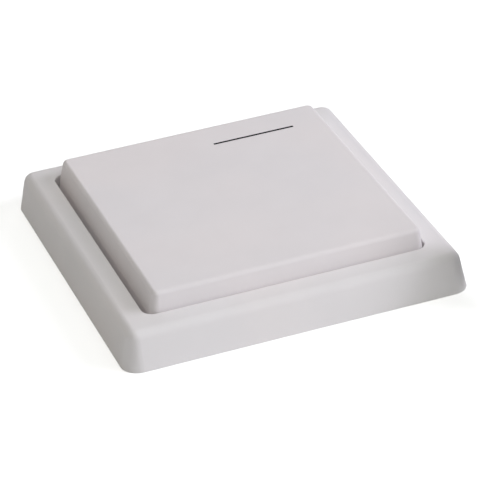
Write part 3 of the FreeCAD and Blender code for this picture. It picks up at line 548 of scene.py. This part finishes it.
def tube(bm, points, rad, sides=12):
    """A round wire along points, with closed ends."""
    pts = [Vector(p) for p in points]
    n = len(pts)
    tang = []
    for i in range(n):
        a = pts[max(0, i - 1)]
        b = pts[min(n - 1, i + 1)]
        tang.append((b - a).normalized())
    ref = Vector((0, 0, 1)) if abs(tang[0].z) < 0.9 else Vector((1, 0, 0))
    u = tang[0].cross(ref).normalized()
    rings = []
    for i in range(n):
        u = (u - tang[i] * u.dot(tang[i])).normalized()
        v = tang[i].cross(u)
        rings.append(
            [
                bm.verts.new(pts[i] + (u * math.cos(t) + v * math.sin(t)) * rad)
                for t in (2 * math.pi * k / sides for k in range(sides))
            ]
        )
    for a, b in zip(rings, rings[1:]):
        for k in range(sides):
            bm.faces.new((a[k], a[(k + 1) % sides], b[(k + 1) % sides], b[k]))
    bm.faces.new(list(reversed(rings[0])))
    bm.faces.new(rings[-1])


def turned(bm, profile, cx, cy, sides=72):
    """A closed profile of (radius, z) turned round the upright axis at (cx, cy), in millimetres."""
    rings = []
    for r, z in profile:
        if r < 1e-6:
            rings.append([bm.verts.new((cx * MM, cy * MM, z * MM))])
        else:
            rings.append(
                [
                    bm.verts.new(((cx + r * math.cos(t)) * MM, (cy + r * math.sin(t)) * MM, z * MM))
                    for t in (2 * math.pi * k / sides for k in range(sides))
                ]
            )
    for a, b in zip(rings, rings[1:]):
        for k in range(sides):
            p = a[k % len(a)], a[(k + 1) % len(a)], b[(k + 1) % len(b)], b[k % len(b)]
            q = []
            for v in p:
                if v not in q:
                    q.append(v)
            if len(q) > 2:
                bm.faces.new(q)


def rounded_profile(points, rad, steps=5):
    """Rounds the inner corners of an open profile of (radius, z)."""
    out = [points[0]]
    for a, b, c in zip(points, points[1:], points[2:]):
        A, B, C = Vector(a), Vector(b), Vector(c)
        d1, d2 = A - B, C - B
        k = min(rad, d1.length * 0.45, d2.length * 0.45)
        p, q = B + d1.normalized() * k, B + d2.normalized() * k
        for i in range(steps + 1):
            t = i / steps
            out.append(tuple(p * (1 - t) ** 2 + B * 2 * t * (1 - t) + q * t * t))
    out.append(points[-1])
    return out


def block(bm, x0, x1, y0, y1, z0, z1, edge, mat_index=0, steps=2):
    """A block with rounded edges."""
    r = bmesh.ops.create_cube(bm, size=1.0)
    vs = r["verts"]
    bmesh.ops.scale(bm, vec=((x1 - x0) * MM, (y1 - y0) * MM, (z1 - z0) * MM), verts=vs)
    bmesh.ops.translate(bm, vec=((x0 + x1) / 2 * MM, (y0 + y1) / 2 * MM, (z0 + z1) / 2 * MM), verts=vs)
    es = list({e for v in vs for e in v.link_edges})
    res = bmesh.ops.bevel(bm, geom=es, offset=edge * MM, segments=steps, profile=0.5, affect="EDGES")
    faces = {f for v in res["verts"] for f in v.link_faces}
    for f in faces:
        f.material_index = mat_index


# ---------------------------------------------------------------- rubber domes
def dome_material():
    m = Mat("milky_silicone", Subsurface_Weight=0.35, Subsurface_Scale=0.0012, Sheen_Weight=0.12)
    m.b.inputs["Subsurface Radius"].default_value = (1.0, 0.85, 0.75)
    n = m.noise(1.3, 3.0, 0.6, seed=4.0)
    milk = m.mix(m.span(n, 0.3, 0.7), (0.64, 0.64, 0.645), (0.74, 0.74, 0.74))
    ay = m.math("ABSOLUTE", m.y)
    dy = m.math("SUBTRACT", ay, 19.0)
    d = m.math("SQRT", m.math("ADD", m.math("MULTIPLY", m.x, m.x), m.math("MULTIPLY", dy, dy)))
    pill = m.math("MULTIPLY", m.span(d, 1.42, 1.48, 1.0, 0.0), m.span(m.z, 5.6, 5.7, 1.0, 0.0))
    col = m.mix(pill, milk, (0.018, 0.018, 0.019))
    m.bump(m.noise(0.12, 3.0, 0.6, seed=6.0), 0.004)
    m.bump(n, 0.01)
    return m.done(col, m.span(n, 0.3, 0.7, 0.46, 0.60))


def rubber_dome(name, node, y):
    z = 4.8
    outer = [(1.9, 10.6), (2.4, 10.34), (2.4, z + 2.9), (4.1, z + 0.95), (5.0, z + 0.9), (5.0, z)]
    inner = [(5.0, z), (3.5, z), (3.5, z + 0.7), (1.95, z + 2.3), (1.5, z + 2.3), (1.5, z + 0.65)]
    prof = [(0.0, 10.6)] + rounded_profile([(0.0, 10.6)] + outer, 0.22)[1:-1]
    prof += rounded_profile(inner, 0.10, 3)[0:-1] + [(1.5, z + 0.65), (0.0, z + 0.65)]
    bm = bmesh.new()
    turned(bm, prof, 0.0, y)
    bmesh.ops.remove_doubles(bm, verts=bm.verts, dist=1e-7)
    o = piece(name, bm, silicone, None, (node,))
    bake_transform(o)
    return o


silicone = dome_material()
rubber_dome("silicone_dome_rear", "rubber_dome_rear", 19.0)
rubber_dome("silicone_dome_front", "rubber_dome_front", -19.0)


# ---------------------------------------------------------------- aerial coil
def copper_material():
    m, col, r = metal("enamelled_copper", (0.74, 0.34, 0.16), 0.27, size=0.10, depth=0.001, spread=0.05, seed=13.0, coat=0.6)
    m.b.inputs["Coat Roughness"].default_value = 0.1
    return m.done(col, r)


def aerial():
    cy, cz, rad = 18.4, 6.95, 1.47
    x0, x1, turns, per = -18.35, -8.05, 17.5, 28
    start = -math.pi / 2
    coil = []
    n = int(turns * per)
    for k in range(n + 1):
        t = k / per * 2 * math.pi
        x = x0 + (x1 - x0) * k / n
        coil.append((x, cy + rad * math.cos(start + t), cz + rad * math.sin(start + t)))
    # the first turn starts at the underside and the last half turn ends on top: run it on to the underside
    last = coil[-1]
    for k in range(1, per // 2 + 1):
        t = (turns * per + k) / per * 2 * math.pi
        coil.append((last[0] + 0.25 * k / (per // 2), cy + rad * math.cos(start + t), cz + rad * math.sin(start + t)))
    a, b = coil[0], coil[-1]
    head = [(a[0] - 0.28, a[1] - 0.0, 4.82), (a[0] - 0.28, a[1], 5.15), (a[0] - 0.18, a[1], 5.38)]
    tail = [(b[0] + 0.18, b[1], 5.38), (b[0] + 0.28, b[1], 5.15), (b[0] + 0.28, b[1], 4.82)]
    pts = [Vector(p) * MM for p in head + coil + tail]
    bm = bmesh.new()
    tube(bm, pts, 0.24 * MM, 10)
    return piece("aerial_winding", bm, copper_material(), "housing", ("antenna_coil",))


aerial()


# ---------------------------------------------------------------- chip resistors and capacitors
def ceramic(name, colour, top=None, rough=0.5):
    m = Mat(name)
    n = m.noise(0.10, 3.0, 0.6, seed=3.0)
    col = m.mix(m.span(n, 0.3, 0.7), tone(colour, 0.9), tone(colour, 1.1))
    if top:
        up = m.span(m.facing(2), 0.6, 0.8)
        col = m.mix(up, col, top)
    m.bump(n, 0.004)
    return m.done(col, m.span(n, 0.3, 0.7, rough - 0.06, rough + 0.06))


m, col, r = metal("tinned_end", (0.66, 0.66, 0.645), 0.30, size=0.12, depth=0.003, spread=0.06, seed=17.0)
tinned = m.done(col, r)


def chips(name, node, places, lx, ly, h, body, along_x):
    bm = bmesh.new()
    cap = 0.32
    for cx, cy in places:
        if along_x:
            block(bm, cx - lx / 2 + 0.05, cx + lx / 2 - 0.05, cy - ly / 2 + 0.03, cy + ly / 2 - 0.03, 4.82, 4.8 + h - 0.03, 0.025, 0)
            for s in (-1, 1):
                e = cx + s * lx / 2
                block(bm, min(e, e - s * cap), max(e, e - s * cap), cy - ly / 2, cy + ly / 2, 4.8, 4.8 + h, 0.05, 1)
        else:
            block(bm, cx - lx / 2 + 0.03, cx + lx / 2 - 0.03, cy - ly / 2 + 0.05, cy + ly / 2 - 0.05, 4.82, 4.8 + h - 0.03, 0.04, 0)
            for s in (-1, 1):
                e = cy + s * ly / 2
                block(bm, cx - lx / 2, cx + lx / 2, min(e, e - s * cap), max(e, e - s * cap), 4.8, 4.8 + h, 0.06, 1)
    return piece(name, bm, [body, tinned], "housing", (node,), smooth=False)


chips(
    "resistor_chips",
    "chip_resistors",
    [(-6.6, -13.2), (-6.6, -15.2), (-6.6, -17.2), (-21.6, 4.8), (-21.6, 6.8), (5.8, 14.6)],
    1.6,
    0.8,
    0.5,
    ceramic("resistor_body", (0.72, 0.71, 0.68), (0.022, 0.022, 0.026), 0.35),
    True,
)
chips(
    "capacitor_chips",
    "chip_capacitors",
    [(-12.2, 8.6), (-12.2, 11.2), (8.6, 14.6), (11.4, 14.6), (7.4, -13.4), (10.2, -13.4)],
    1.0,
    1.6,
    0.8,
    ceramic("capacitor_body", (0.42, 0.29, 0.17), None, 0.45),
    False,
)


# ---------------------------------------------------------------- floor
def plane(name, z, colour, glow=0.0):
    s = 3.0
    me = bpy.data.meshes.new(name)
    me.from_pydata([(-s, -s, z), (s, -s, z), (s, s, z), (-s, s, z)], [], [(0, 1, 2, 3)])
    o = bpy.data.objects.new(name, me)
    scene.collection.objects.link(o)
    m = Mat(name + "_paper", Roughness=0.9)
    n = m.noise(1.4, 3.0, 0.6, seed=2.0)
    col = m.mix(m.span(n, 0.3, 0.7), tone(colour, 0.997), tone(colour, 1.003))
    if glow:
        m.b.inputs["Emission Color"].default_value = (1, 1, 1, 1)
        # none under the object, so that its openings stay dark
        under = m.math("MAXIMUM", m.math("ABSOLUTE", m.x), m.math("ABSOLUTE", m.y))
        m.put(m.b.inputs["Emission Strength"], m.span(under, 37.5, 38.5, 0.0, glow))
        m.m.cycles.emission_sampling = "NONE"
    me.materials.append(m.done(col))
    return o


bounce = plane("floor", -0.00002, (0.93, 0.93, 0.93))
bounce.visible_camera = False
seen = plane("floor_seen", -0.00001, (0.93, 0.93, 0.93), glow=0.48)
seen.visible_diffuse = seen.visible_glossy = seen.visible_transmission = seen.visible_shadow = False

# ---------------------------------------------------------------- lights
world = bpy.data.worlds.new("studio")
scene.world = world
world.use_nodes = True
world.node_tree.nodes["Background"].inputs[0].default_value = (1, 1, 1, 1)
world.node_tree.nodes["Background"].inputs[1].default_value = 0.96
world.cycles_visibility.diffuse = False
world.cycles_visibility.glossy = False
world.cycles_visibility.transmission = False
world.cycles_visibility.scatter = False

# azimuth from +X, elevation, share, colour
LIGHTS = (
    (135.0, 10.0, 0.0256, (1.051, 1.023, 0.924)),
    (315.0, 10.0, 0.0945, (1.005, 1.001, 0.994)),
    (67.5, 30.0, 0.0481, (1.010, 0.962, 1.028)),
    (157.5, 30.0, 0.0171, (1.041, 1.007, 0.952)),
    (202.5, 30.0, 0.0308, (1.062, 1.014, 0.922)),
    (337.5, 30.0, 0.2490, (0.971, 0.966, 1.064)),
    (90.0, 50.0, 0.0227, (1.023, 1.005, 0.971)),
    (270.0, 50.0, 0.0717, (0.988, 1.027, 0.985)),
    (315.0, 50.0, 0.0260, (0.969, 1.024, 1.009)),
    (45.0, 72.0, 0.0554, (0.961, 1.034, 1.006)),
    (225.0, 72.0, 0.0639, (1.050, 1.006, 0.943)),
)
for k, (az, el, share, colour) in enumerate(LIGHTS):
    a, e = math.radians(az), math.radians(el)
    d = Vector((math.cos(a) * math.cos(e), math.sin(a) * math.cos(e), math.sin(e)))
    L = bpy.data.lights.new("softbox_%d" % k, "AREA")
    L.shape = "DISK"
    L.size = 0.6
    L.color = colour
    L.energy = 20.0 * share
    o = bpy.data.objects.new("softbox_%d" % k, L)
    scene.collection.objects.link(o)
    o.location = d
    o.rotation_euler = d.to_track_quat("Z", "Y").to_euler()
    # the strongest one gives no gloss, which would wash out the tops seen from the left
    o.visible_glossy = share < 0.2


def flag(x, y0, y1, z0, z1):
    """A small black card that shades the right end of the front wall. The camera does not see it."""
    bm = bmesh.new()
    block(bm, x, x + 0.5, y0, y1, z0, z1, 0.1)
    me = bpy.data.meshes.new("flag_card")
    bm.to_mesh(me)
    bm.free()
    o = bpy.data.objects.new("flag_card", me)
    scene.collection.objects.link(o)
    m = Mat("flag_black")
    n = m.noise(0.6, 3.0, 0.6, seed=5.0)
    me.materials.append(m.done(m.mix(n, (0.008, 0.008, 0.008), (0.012, 0.012, 0.012)), 0.9))
    o.visible_camera = False


flag(44.2, -52.0, -39.0, 3.5, 21.0)
